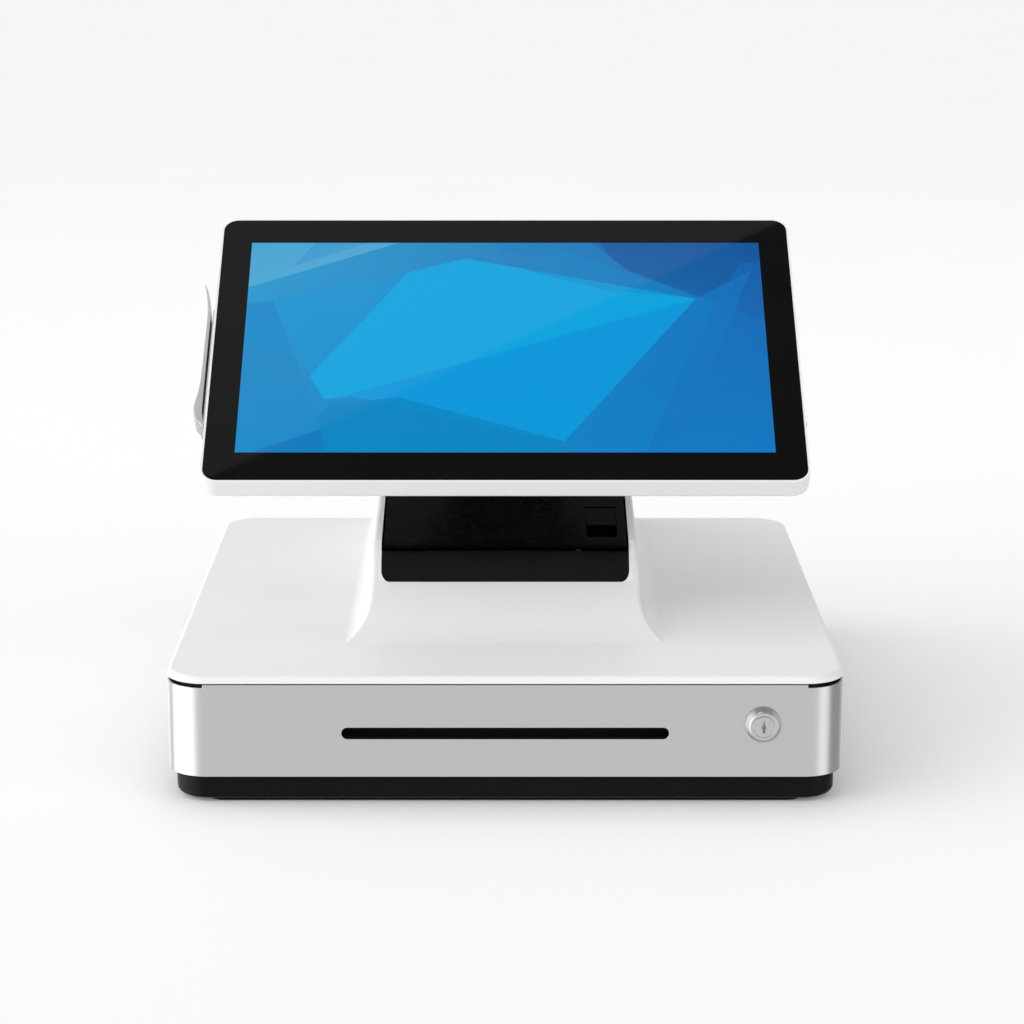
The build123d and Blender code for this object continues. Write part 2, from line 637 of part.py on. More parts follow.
def slab(start, angle, length, thickness, x_low, x_high, mode=Mode.ADD):
    """A flat plate seen edge-on in (y, z): it starts at start and runs at an angle."""
    side_a = along(start, angle + pi / 2, thickness / 2)
    side_b = along(start, angle - pi / 2, thickness / 2)
    side_plate([side_a, along(side_a, angle, length), along(side_b, angle, length), side_b], x_low, x_high, mode)


with BuildPart() as printer_frame:
    floor_y = (front_y + 146, lid_rear_y - 2)
    floor_z = (deck_top, deck_top + foot_plate)
    pin_y, pin_z = lid_pin_axis
    block((-frame_half, floor_y[0], floor_z[0]), (frame_half, floor_y[1], floor_z[1]))
    for side in (-1, 1):
        low, high = sorted((side * frame_half, side * (frame_half - frame_wall)))
        side_plate([(floor_y[0], floor_z[0]), (floor_y[1], floor_z[0]), (pin_y + 5, pin_z - 4), (pin_y + 5, pin_z + 3),
                    (pin_y - 5, pin_z + 2.8), (pin_y - 9, pin_z - 10), (3, 118), (-24, 114), (-29, 104), (floor_y[0], 98)],
                   low, high)
    side_plate([(-16, floor_z[1]), (36, floor_z[1]), (36, 108), (roll_axis[0], 108), (-16, 84)], -44, 44)
    rod_x(-paper_half - 1, paper_half + 1, roll_axis, bucket_radius, mode=Mode.SUBTRACT)
    rod_x(gear_x[0] - 0.4, frame_half - 1, idler_axis, 1.5)
    rod_x(-frame_half - 1, frame_half + 1, lid_pin_axis, lid_pin_radius, mode=Mode.SUBTRACT)
    for x, y in printer_screws_at:
        with Locations((x, y, floor_z[1])):
            Cylinder(screw_radius, 10, mode=Mode.SUBTRACT)
keep(printer_frame.part, "printer_frame")

fascia_slope = heading(fascia_foot, seam)
fascia_thickness = 3.0
fascia_half = well_half - 0.4
with BuildPart() as printer_fascia:
    fascia_start = along((fascia_foot[0] + 0.3, fascia_foot[1]), fascia_slope - pi / 2, fascia_thickness / 2)
    slab(fascia_start, fascia_slope, hypot(seam[0] - fascia_foot[0], seam[1] - fascia_foot[1]) - 0.8,
         fascia_thickness, -fascia_half, fascia_half)
    for side in (-1, 1):
        low, high = sorted((side * 70, side * 75))
        foot_y, foot_z = along(fascia_start, fascia_slope, 3)
        side_plate([(foot_y, foot_z), (foot_y + 9, foot_z + 10), (foot_y + 9, 98), (foot_y + 4, deck_top),
                    (foot_y, deck_top)], low, high)
    well_prism(0.3, deck_top, Mode.INTERSECT)
keep(printer_fascia.part, "printer_fascia")

with BuildPart() as print_head:
    head_top = web_low_z - paper_thickness / 2 - 0.1
    block((-42, platen_axis[0] - 6, head_top - 3.3), (42, platen_axis[0] + 6.5, head_top))
    block((-42, platen_axis[0] + 3.5, floor_z[1]), (4, platen_axis[0] + 6.5, head_top - 3.3))
keep(print_head.part, "print_head")

with BuildPart() as feed_motor:
    rod_x(10, gear_x[0] - 4, pinion_axis, 9.5)
    rod_x(gear_x[0] - 4, gear_x[1] + 1, pinion_axis, 1.2)
    block((12, pinion_axis[0] - 8, floor_z[1]), (40, pinion_axis[0] + 3, pinion_axis[1] - 5))
keep(feed_motor.part, "feed_motor")

with BuildPart() as feed_pinion:
    gear(pinion_teeth, pinion_axis, pinion_phase, *gear_x, 1.2 + running_fit)
keep(feed_pinion.part, "feed_pinion")

with BuildPart() as idler_gear:
    gear(idler_teeth, idler_axis, idler_phase, *gear_x, 1.5 + running_fit)
keep(idler_gear.part, "idler_gear")

with BuildPart() as paper_roll:
    rod_x(-paper_half, paper_half, roll_axis, roll_radius)
    rod_x(-paper_half - 1, paper_half + 1, roll_axis, 6, mode=Mode.SUBTRACT)
keep(paper_roll.part, "paper_roll")

with BuildPart() as paper_web:
    slab(web_start, heading(web_start, web_flat_start), hypot(web_flat_start[0] - web_start[0],
         web_flat_start[1] - web_start[1]), paper_thickness, -paper_half, paper_half)
    slab(web_turn, 0, web_flat_start[0] - web_turn[0], paper_thickness, -paper_half, paper_half)
    slab(web_turn, web_rise, hypot(web_end[0] - web_turn[0], web_end[1] - web_turn[1]), paper_thickness,
         -paper_half, paper_half)
keep(paper_web.part, "paper_web")

with BuildPart() as moving_blade:
    slab(along(blade_point, blade_heading, -10.5), blade_heading, 9.3, 0.8, -63, 63)
keep(moving_blade.part, "moving_blade")

blade_gap = 1.2                                    # between the middles of the two blades
fixed_blade_start = along(along(blade_point, web_rise, blade_gap), blade_heading, 0.7)
with BuildPart() as fixed_blade:
    slab(fixed_blade_start, blade_heading, 4.2, 0.8, -44, 44)
keep(fixed_blade.part, "fixed_blade")

lid_half = 78.6
lid_skin = 2.6
shaft_radius = 2.5
slot_half = 49.0
recess_x = (53.0, 73.0)
recess_y = (front_y + 163, front_y + 205)
lever_y = (front_y + 180, recess_y[1] - 1.0)
lever_pin_y = lever_y[1] - 2.5
recess_depth = 6.5
arm_x = (54.0, 58.0)


def under_lid(y, depth):
    """The point in (y, z) that lies a depth below the lid's outer face."""
    return (y, lid_top(y) - depth)


with BuildPart() as printer_lid:
    nose = (front_y + 151.4, 123.2)
    side_plate([(seam[0] + 0.6, seam[1] + 0.4), nose, (nose[0] + 0.9, nose[1] + 1.3), lid_front,
                under_lid(lid_rear_y, 0), under_lid(lid_rear_y, lid_skin), under_lid(lid_front[0] + 2, lid_skin),
                (seam[0] + 3.4, seam[1] + 0.4)], -lid_half, lid_half)
    for side in (-1, 1):
        low, high = sorted((side * lid_half, side * (lid_half - 3)))
        side_plate([under_lid(seam[0] + 6, lid_skin), under_lid(pin_y + 5, lid_skin), (pin_y + 4, pin_z - 4),
                    (pin_y - 4, pin_z - 4), (pin_y - 8, pin_z - 1), under_lid(seam[0] + 10, 8)], low, high)
        low, high = sorted((side * arm_x[0], side * arm_x[1]))
        side_plate([under_lid(platen_axis[0] - 8, lid_skin - 0.5), under_lid(platen_axis[0] + 12, lid_skin - 0.5),
                    (platen_axis[0] + 5, platen_axis[1] - 4), (platen_axis[0] - 4, platen_axis[1] - 4)], low, high)
    block((recess_x[0] - 2, recess_y[0] - 1.5, lid_top(recess_y[0]) - recess_depth - 1.5),
          (recess_x[1] + 1.5, recess_y[1] + 1.5, lid_top(recess_y[0]) - 1))
    side_plate([under_lid(recess_y[0] - 1.5, 1), under_lid(recess_y[1] + 1.5, 1),
                (recess_y[1] + 1.5, lid_top(recess_y[0]) - 2), (recess_y[0] - 1.5, lid_top(recess_y[0]) - 2)],
               recess_x[0] - 2, recess_x[1] + 1.5)
    side_plate([under_lid(recess_y[0], -5), under_lid(recess_y[1], -5), under_lid(recess_y[1], recess_depth),
                under_lid(recess_y[0], recess_depth)], *recess_x, mode=Mode.SUBTRACT)
    slab(along(fixed_blade_start, web_rise, 0.8), blade_heading, 4.2, 0.8, -44, 44)
    side_plate([along(fixed_blade_start, web_rise, 0.9), along(along(fixed_blade_start, web_rise, 0.9),
                blade_heading, 3.6), under_lid(fixed_blade_start[0] + 4.5, 1), under_lid(fixed_blade_start[0] + 1, 1)],
               -44, 44)
    block((-slot_half, nose[0] - 3, nose[1] - 0.3), (slot_half, nose[0] + 2.4, nose[1] + 1.1), mode=Mode.SUBTRACT)
    rod_x(-lid_half - 1, lid_half + 1, lid_pin_axis, lid_pin_radius + running_fit, mode=Mode.SUBTRACT)
    rod_x(-arm_x[1] - 1, arm_x[1] + 1, platen_axis, shaft_radius + running_fit, mode=Mode.SUBTRACT)
    rod_x(recess_x[0] - 1.5, recess_x[1] + 1, under_lid(lever_pin_y, 3), 1 + running_fit, mode=Mode.SUBTRACT)
keep(printer_lid.part, "printer_lid")

with BuildPart() as lid_lever:
    side_plate([under_lid(lever_y[0], 0.2), under_lid(lever_y[1] - 1, 0.2), under_lid(lever_y[1], 1.2),
                under_lid(lever_y[1], 2.4), under_lid(lever_y[0] + 1, 2.4)], recess_x[0] + 0.4, recess_x[1] - 0.4)
    rod_x(recess_x[0] + 0.4, recess_x[1] - 0.4, under_lid(lever_pin_y, 3), 2)
    rod_x(recess_x[0] - 1.4, recess_x[1] + 0.9, under_lid(lever_pin_y, 3), 1)
keep(lid_lever.part, "lid_lever")

with BuildPart() as lid_pin:
    rod_x(-lid_half + 0.5, lid_half - 0.5, lid_pin_axis, lid_pin_radius)
keep(lid_pin.part, "lid_pin")

with BuildPart() as platen_shaft:
    rod_x(-arm_x[1] - 1.5, arm_x[1] + 1.5, platen_axis, shaft_radius)
    gear(platen_teeth, platen_axis, to_idler, *gear_x, 1)
    rod_x(gear_x[0] - 1, gear_x[1] + 1, platen_axis, shaft_radius)
keep(platen_shaft.part, "platen_shaft")

with BuildPart() as platen_rubber:
    rod_x(-41, 41, platen_axis, platen_radius)
    rod_x(-42, 42, platen_axis, shaft_radius, mode=Mode.SUBTRACT)
keep(platen_rubber.part, "platen_rubber")

# ------------------------------------------------------------------ power and connections, under the hump's rear
psu_y = (front_y + 328, front_y + 394)
port_wall_y = hump_rear_y - cover_wall
inlet = (-62, -34, 88, 109)
ports = [(6, 20, 88.2, 104), (24, 38, 88.2, 104), (42, 57, 88.2, 101), (60, 68, 88.2, 98)]
board_z = 86.6

with BuildPart() as power_supply:
    block((-74, psu_y[0], deck_top), (-8, psu_y[1], 108))
    fillet(power_supply.edges().filter_by(Axis.Z), radius=2)
    for x in range(-66, -15, 8):
        block((x, psu_y[0] + 8, 106), (x + 3, psu_y[1] - 8, 109), mode=Mode.SUBTRACT)
keep(power_supply.part, "power_supply")

with BuildPart() as power_inlet:
    block((inlet[0], psu_y[1], inlet[2]), (inlet[1], hump_rear_y - 1, inlet[3]))
    chamfer(power_inlet.edges().filter_by(Axis.Y).group_by(Axis.Z)[-1], length=4)
    block((inlet[0] + 2, hump_rear_y - 12, inlet[2] + 2.5), (inlet[1] - 2, hump_rear_y, inlet[3] - 5),
          mode=Mode.SUBTRACT)
    for x, z in ((-55, 96), (-48, 100), (-41, 96)):
        block((x - 1, psu_y[1] + 1, z - 2), (x + 1, hump_rear_y - 3, z + 2))
keep(power_inlet.part, "power_inlet")

with BuildPart() as io_board:
    block((0, psu_y[0] + 10, board_z), (72, port_wall_y - 3, board_z + 1.6))
    for x in (5, 67):
        for y in (psu_y[0] + 16, port_wall_y - 17):
            with Locations((x, y, deck_top)):
                Cylinder(3, board_z - deck_top, align=(Align.CENTER, Align.CENTER, Align.MIN))
    for low, high, bottom, top in ports:
        block((low, port_wall_y - 20, bottom), (high, hump_rear_y - 1.5, top))
        block((low + 1.5, port_wall_y - 10, bottom + 2), (high - 1.5, hump_rear_y, top - 2), mode=Mode.SUBTRACT)
keep(io_board.part, "io_board")

with BuildPart() as port_panel:
    block((-76, port_wall_y - 2, 80), (76, port_wall_y - 0.2, 114))
    block((-76, port_wall_y - 10, 80), (76, port_wall_y - 2, 81.5))
    for low, high, bottom, top in [inlet] + ports:
        block((low - 0.4, port_wall_y - 5, bottom - 0.4), (high + 0.4, port_wall_y + 1, top + 0.4),
              mode=Mode.SUBTRACT)
keep(port_panel.part, "port_panel")

harness_radius = 2.0
harness_route = [(-20, psu_y[0], 92), (-20, psu_y[0] - 26, 92), (24, psu_y[0] - 26, 92), (24, psu_y[0] + 10, 92)]
harness_bends = [0.45 * 26, 0.45 * 36]
with BuildPart() as dc_harness:
    with BuildLine() as harness_path:
        FilletPolyline(*harness_route, radius=harness_bends)
    with BuildSketch(Plane(origin=harness_route[0], z_dir=(0, -1, 0))):
        Circle(harness_radius)
    sweep()
    block((18, psu_y[0] + 10, board_z + 1.6), (30, psu_y[0] + 18, 96))
keep(dc_harness.part, "dc_harness")

# ------------------------------------------------------------------ tilting screen
up = (sin(lean), cos(lean))                        # up along the screen, in (y, z)
screen = Plane(origin=(0, *active_foot), x_dir=(1, 0, 0), z_dir=(0, -up[1], up[0]))


def on_screen(height, depth):
    """The point in (y, z) at a height up the screen and a depth behind the glass."""
    return (active_foot[0] + height * up[0] + depth * up[1], active_foot[1] + height * up[1] - depth * up[0])


glass_height = active_height + glass_below + glass_above
glass_mid = active_height / 2 + (glass_above - glass_below) / 2
hinge_axis = on_screen(hinge_up, hinge_back)
rim_drop = 0.3                                     # the housing's rim lies just below the glass


def screen_slab(width, height, radius, middle, near, far, mode=Mode.ADD):
    """A rounded rectangle parallel to the screen, between two depths behind the glass."""
    with BuildSketch(screen.offset(-far)) as outline:
        with Locations((0, middle)):
            RectangleRounded(width, height, radius)
    extrude(outline.sketch, amount=far - near, mode=mode)


def bulge(inset, near, far, mode=Mode.ADD):
    """The swelling in the middle of the housing's back, drawn in by inset."""
    with BuildSketch(screen.offset(-near)) as wide:
        with Locations((0, 105)):
            RectangleRounded(306 - 2 * inset, 172 - 2 * inset, 22 - inset)
    with BuildSketch(screen.offset(-far)) as narrow:
        with Locations((0, 105)):
            RectangleRounded(264 - 2 * inset, 134 - 2 * inset, 18 - inset)
    loft([wide.sketch, narrow.sketch], mode=mode)


button_at = on_screen(30, 8)
button_radius = 3.0
housing_half = glass_width / 2 + rim
back_wall = 2.4
with BuildPart() as display_back:
    screen_slab(2 * housing_half, glass_height + 2 * rim, glass_radius + rim, glass_mid, rim_drop, edge_depth)
    fillet(display_back.faces().sort_by(Axis(screen.origin, screen.z_dir))[0].edges(), radius=3.5)
    bulge(0, edge_depth, bulge_depth)
    screen_slab(glass_width + 0.4, glass_height + 0.4, glass_radius + 0.2, glass_mid, 0, glass_thickness + 0.1,
                mode=Mode.SUBTRACT)
    screen_slab(370, 226, 6, glass_mid, 0, edge_depth - back_wall, mode=Mode.SUBTRACT)
    bulge(back_wall, edge_depth - back_wall, bulge_depth - back_wall, mode=Mode.SUBTRACT)
    with BuildSketch(screen.offset(-bulge_depth - 1)) as vents:
        with Locations((0, 150)):
            with GridLocations(11, 1, 21, 1):
                SlotOverall(26, 4.4, rotation=90)
    extrude(vents.sketch, amount=5, mode=Mode.SUBTRACT)
    rod_x(180, 200, button_at, button_radius + running_fit, mode=Mode.SUBTRACT)
keep(display_back.part, "display_back")

with BuildPart() as cover_glass:
    screen_slab(glass_width, glass_height, glass_radius, glass_mid, 0, glass_thickness)
keep(cover_glass.part, "cover_glass")

lcd_back = 9.0
with BuildPart() as lcd_panel:
    screen_slab(active_width + 10, active_height + 12, 2, active_height / 2, glass_thickness, lcd_back)
keep(lcd_panel.part, "lcd_panel")

board_depth = (17.0, 18.6)
with BuildPart() as mainboard:
    screen_slab(210, 110, 3, 105, *board_depth)
    screen_slab(60, 50, 2, 120, board_depth[1], 21)
    with BuildSketch(screen.offset(-30)) as fins:
        with Locations((0, 120)):
            with GridLocations(6, 1, 10, 1):
                Rectangle(2, 48)
    extrude(fins.sketch, amount=9)
    for x, height in ((-80, 80), (80, 80), (-80, 140), (80, 140)):
        with BuildSketch(screen.offset(-board_depth[0])) as post:
            with Locations((x, height)):
                Circle(3)
        extrude(post.sketch, amount=board_depth[0] - lcd_back)
keep(mainboard.part, "mainboard")

reader_x = housing_half + 0.1
reader_slot = (0.9, 2.3)                           # from the housing's side, outwards
with BuildPart() as card_reader:
    with BuildSketch(screen.offset(-edge_depth)) as reader_outline:
        with BuildLine():
            Polyline((-reader_x, 23), (-reader_x - 3.6, 30), (-reader_x - 7.2, 40), (-reader_x - 7.6, 48),
                     (-reader_x - 5.6, 57), (-reader_x - 4.3, 70), (-reader_x - 3.9, 95), (-reader_x - 4.0, 125),
                     (-reader_x - 4.8, 137), (-reader_x - 8.2, 155), (-reader_x - 2.4, 137), (-reader_x, 131),
                     close=True)
        make_face()
    extrude(reader_outline.sketch, amount=edge_depth - 1)
    with BuildSketch(screen.offset(-edge_depth + 3)) as swipe:
        with Locations((-reader_x - sum(reader_slot) / 2, 80)):
            Rectangle(reader_slot[1] - reader_slot[0], 200)
    extrude(swipe.sketch, amount=20, mode=Mode.SUBTRACT)
keep(card_reader.part, "card_reader")

button_travel = 0.8
with BuildPart() as power_button:
    rod_x(185 - 1.5, housing_half + 1, button_at, button_radius)
    rod_x(185 - 2.7, 185 - 1.2, button_at, button_radius + 1)
keep(power_button.part, "power_button")

# ------------------------------------------------------------------ hinge and neck
neck_top_radius = 17.5
neck_wall = 2.5
neck_base_z = 138.0
neck_waist_z = 158.0                               # the neck stands upright up to here
arm_inner, arm_outer = 42.0, 50.0
with BuildPart() as hinge_arms:
    for side in (-1, 1):
        low, high = sorted((side * arm_inner, side * arm_outer))
        side_plate([on_screen(hinge_up - 20, bulge_depth), on_screen(hinge_up + 20, bulge_depth),
                    on_screen(hinge_up + 9, hinge_back), on_screen(hinge_up - 9, hinge_back)], low, high)
        rod_x(low, high, hinge_axis, 9)
        low, high = sorted((side * arm_inner, side * 66))
        side_plate([on_screen(hinge_up - 28, bulge_depth), on_screen(hinge_up + 28, bulge_depth),
                    on_screen(hinge_up + 28, bulge_depth + 3), on_screen(hinge_up - 28, bulge_depth + 3)], low, high)
    rod_x(-60, 60, hinge_axis, hinge_radius + running_fit, mode=Mode.SUBTRACT)
keep(hinge_arms.part, "hinge_arms")

with BuildPart() as hinge_shaft:
    rod_x(-arm_outer - 1, arm_outer + 1, hinge_axis, hinge_radius)
    both_sides_rod(arm_outer + 0.5, arm_outer + 4, hinge_axis, 7)
    both_sides_rod(neck_half + 0.3, arm_inner - 0.3, hinge_axis, 8)
keep(hinge_shaft.part, "hinge_shaft")

bracket_half = 34.0
bracket_foot_y = (front_y + 268, front_y + 308)
with BuildPart() as neck_bracket:
    block((-bracket_half, bracket_foot_y[0], deck_top), (bracket_half, bracket_foot_y[1], deck_top + foot_plate))
    for side in (-1, 1):
        low, high = sorted((side * bracket_half, side * (bracket_half - 3)))
        side_plate([(bracket_foot_y[0], deck_top), (bracket_foot_y[1], deck_top),
                    (bracket_foot_y[1] - 8, neck_base_z + 4), (hinge_axis[0] + 10, hinge_axis[1]),
                    (hinge_axis[0] - 6, hinge_axis[1]), (bracket_foot_y[0] + 10, neck_base_z)], low, high)
        rod_x(low, high, hinge_axis, 12)
    for y, z in ((bracket_foot_y[0] + 12, 110), (bracket_foot_y[1] - 14, 110), (bracket_foot_y[0] + 16, 165)):
        rod_x(-bracket_half, bracket_half, (y, z), 4)
    rod_x(-60, 60, hinge_axis, hinge_radius, mode=Mode.SUBTRACT)
    for x, y in bracket_screws_at:
        with Locations((x, y, deck_top)):
            Cylinder(screw_radius, 10, mode=Mode.SUBTRACT)
keep(neck_bracket.part, "neck_bracket")


def neck_outline(inset, base_z):
    """The neck's side outline: it narrows from the cover up to a round head about the hinge."""
    front_y_in, rear_y_in = neck_foot_y[0] + inset, neck_foot_y[1] - inset
    front, rear = (front_y_in, neck_waist_z), (rear_y_in, neck_waist_z)
    head = neck_top_radius - inset
    with BuildSketch(Plane.YZ) as outline:
        with BuildLine():
            Polyline((front_y_in, base_z), front, tangent_point(front, hinge_axis, head, -1), hinge_axis,
                     tangent_point(rear, hinge_axis, head, 1), rear, (rear_y_in, base_z), close=True)
        make_face()
        with Locations(hinge_axis):
            Circle(head)
    return outline.sketch


neck_split = Plane(origin=(0, *hinge_axis), x_dir=(1, 0, 0),
                   z_dir=(0, hinge_axis[1] - neck_base_z, sum(neck_foot_y) / 2 - hinge_axis[0]))
with BuildPart() as neck_shell:
    extrude(neck_outline(0, neck_base_z), amount=neck_half, both=True)
    fillet(neck_shell.edges().filter_by(lambda edge: abs(abs(edge.center().X) - neck_half) < 0.1
                                        and edge.center().Z > neck_base_z + 1), radius=2)
    extrude(neck_outline(neck_wall, neck_base_z - 5), amount=neck_half - neck_wall, both=True, mode=Mode.SUBTRACT)
    rod_x(-60, 60, hinge_axis, hinge_radius + 0.4, mode=Mode.SUBTRACT)

for half_name, half in (("neck_front_shell", Keep.BOTTOM), ("neck_rear_shell", Keep.TOP)):
    with BuildPart() as neck_half_shell:
        add(neck_shell.part)
        split(bisect_by=neck_split, keep=half)
    keep(neck_half_shell.part, half_name)
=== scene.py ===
"""Looks of the countertop point-of-sale terminal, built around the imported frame.

Metres, in the frame's own axes: +Z up, +X to the operator's right, +Y away from the operator.
"""
import json
import math

import bmesh
import bpy
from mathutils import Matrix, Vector


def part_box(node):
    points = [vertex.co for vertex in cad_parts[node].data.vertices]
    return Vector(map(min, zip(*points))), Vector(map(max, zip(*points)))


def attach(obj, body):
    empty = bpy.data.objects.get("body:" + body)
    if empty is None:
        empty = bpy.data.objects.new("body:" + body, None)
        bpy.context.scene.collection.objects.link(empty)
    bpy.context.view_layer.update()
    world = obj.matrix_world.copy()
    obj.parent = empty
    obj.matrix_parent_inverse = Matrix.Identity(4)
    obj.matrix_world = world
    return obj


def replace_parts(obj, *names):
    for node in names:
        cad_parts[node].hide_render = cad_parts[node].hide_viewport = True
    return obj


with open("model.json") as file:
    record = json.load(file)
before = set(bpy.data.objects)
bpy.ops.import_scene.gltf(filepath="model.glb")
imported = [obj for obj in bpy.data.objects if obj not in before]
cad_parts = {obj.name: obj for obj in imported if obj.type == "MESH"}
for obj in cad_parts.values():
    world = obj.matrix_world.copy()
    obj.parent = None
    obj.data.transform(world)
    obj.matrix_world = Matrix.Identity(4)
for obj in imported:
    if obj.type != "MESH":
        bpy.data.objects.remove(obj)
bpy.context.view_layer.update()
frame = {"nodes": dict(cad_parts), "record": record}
record = frame["record"]
slot_of = {part["node"]: part["material_slot"] for part in record["subparts"]}
body_of = {node: body for body, members in record["behaviour"]["bodies"].items() for node in members}
MM = 0.001

# ------------------------------------------------------------------ camera
CAMERA_AT = (0.0, -1.8765, 0.5681)
CAMERA_DOWN = math.radians(13.03)
camera = bpy.data.objects.new("camera", bpy.data.cameras.new("camera"))
bpy.context.scene.collection.objects.link(camera)
camera.location = CAMERA_AT
camera.rotation_euler = (math.pi / 2 - CAMERA_DOWN, 0, 0)
camera.data.sensor_width = 36.0
camera.data.lens = 102.0
camera.data.shift_x = 0.0066
camera.data.clip_end = 200.0
bpy.context.scene.camera = camera
bpy.context.scene.view_settings.view_transform = "Standard"


# ------------------------------------------------------------------ node helpers
def node(tree, kind, inputs=None, **settings):
    """A shader node. A value for an input is a number, a colour, a vector or another node's output."""
    made = tree.nodes.new("ShaderNode" + kind)
    for name, value in settings.items():
        setattr(made, name, value)
    for name, value in (inputs or {}).items():
        if isinstance(value, bpy.types.NodeSocket):
            tree.links.new(value, made.inputs[name])
        else:
            made.inputs[name].default_value = value
    return made


def remap(tree, value, low, high, new_low, new_high):
    """The value, carried from one range to another and held within it."""
    inputs = {"Value": value, "From Min": low, "From Max": high, "To Min": new_low, "To Max": new_high}
    return node(tree, "MapRange", inputs).outputs["Result"]


def blended(tree, amount, first, second, how="MIX"):
    """Two colours, mixed by an amount."""
    mix = node(tree, "Mix", {0: amount}, data_type="RGBA", blend_type=how)
    for socket, value in ((mix.inputs[6], first), (mix.inputs[7], second)):
        if isinstance(value, bpy.types.NodeSocket):
            tree.links.new(value, socket)
        else:
            socket.default_value = value
    return mix.outputs[2]


def noise(tree, where, scale, detail=2.0):
    """A noise value about 0.5 at a place, with that many grains to the metre."""
    return node(tree, "TexNoise", {"Vector": where, "Scale": scale, "Detail": detail}).outputs["Fac"]


def rgba(colour):
    """A colour from one grey level or three numbers."""
    return (colour, colour, colour, 1.0) if isinstance(colour, float) else (*colour, 1.0)


# ------------------------------------------------------------------ finishes
def finish(name, colour, roughness, metallic=0.0, mottle=0.05, mottle_scale=35.0, grain=0.02,
           grain_scale=1800.0, stretch=(1.0, 1.0, 1.0), coat=0.0, specular=0.5, wear=None, wear_width=0.5,
           rings=None, gloss_drift=0.12):
    """A moulded, painted or metal surface.

    Its colour and gloss drift over mottle_scale, and its grain, in millimetres, stands in relief, unless it
    is 0. Stretch draws the grain out into brush lines. Wear is the colour that shows along handled edges.
    """
    material = bpy.data.materials.new(name)
    material.use_nodes = True
    tree = material.node_tree
    shader = tree.nodes["Principled BSDF"]
    shader.inputs["Metallic"].default_value = metallic
    shader.inputs["Specular IOR Level"].default_value = specular
    shader.inputs["Coat Weight"].default_value = coat
    shader.inputs["Coat Roughness"].default_value = 0.10
    place = node(tree, "TexCoord").outputs["Object"]
    drift = noise(tree, place, mottle_scale, 3.0)
    lines = node(tree, "Mapping", {"Vector": place, "Scale": stretch}).outputs["Vector"]
    grains = noise(tree, lines, grain_scale)
    tint = blended(tree, 1.0, rgba(colour), node(tree, "CombineColor", {
        channel: remap(tree, drift, 0.3, 0.7, 1 - mottle, 1 + mottle) for channel in ("Red", "Green", "Blue")
    }).outputs["Color"], "MULTIPLY")
    tint = blended(tree, remap(tree, grains, 0.35, 0.65, 0.0, mottle), tint, rgba(0.0))
    gloss = remap(tree, noise(tree, place, mottle_scale * 4), 0.3, 0.7, roughness * (1 - gloss_drift),
                  roughness * (1 + gloss_drift))
    if wear:
        rounded = node(tree, "Bevel", {"Radius": wear_width * MM}, samples=4).outputs["Normal"]
        flat = node(tree, "NewGeometry").outputs["Normal"]
        turn = node(tree, "VectorMath", {0: rounded, 1: flat}, operation="DOT_PRODUCT").outputs["Value"]
        edge = remap(tree, turn, 0.97, 0.86, 0.0, 1.0)
        patch = remap(tree, noise(tree, place, 160.0, 4.0), 0.46, 0.62, 0.0, 1.0)
        worn = node(tree, "Math", {0: edge, 1: patch}, operation="MULTIPLY").outputs["Value"]
        tint = blended(tree, worn, tint, rgba(wear))
        gloss = node(tree, "Mix", {0: worn, 2: gloss, 3: min(1.0, roughness * 1.4)}).outputs[0]
    relief = grains
    if rings:
        spin = node(tree, "VectorMath", {0: place, 1: rings[0]}, operation="SUBTRACT").outputs["Vector"]
        wave = node(tree, "TexWave", {"Vector": spin, "Scale": rings[2], "Distortion": 0.3},
                    wave_type="RINGS", rings_direction=rings[1])
        relief = node(tree, "Math", {0: wave.outputs["Fac"], 1: grains}, operation="ADD").outputs["Value"]
    tree.links.new(tint, shader.inputs["Base Color"])
    tree.links.new(gloss, shader.inputs["Roughness"])
    if grain:
        bump = node(tree, "Bump", {"Height": relief, "Strength": 0.6, "Distance": grain * MM})
        tree.links.new(bump.outputs["Normal"], shader.inputs["Normal"])
    return material


def shelled(material, low, high, colour):
    """Gives the parts of a board between two heights, its connector shells, a colour of their own."""
    tree = material.node_tree
    base = tree.nodes["Principled BSDF"].inputs["Base Color"]
    tint = base.links[0].from_socket
    height = node(tree, "SeparateXYZ", {"Vector": node(tree, "TexCoord").outputs["Object"]}).outputs["Z"]
    above = remap(tree, height, low, low + 0.2 * MM, 0.0, 1.0)
    below = remap(tree, height, high, high + 0.2 * MM, 1.0, 0.0)
    shell = node(tree, "Math", {0: above, 1: below}, operation="MULTIPLY").outputs["Value"]
    tree.links.new(blended(tree, shell, tint, rgba(colour)), base)
    return material


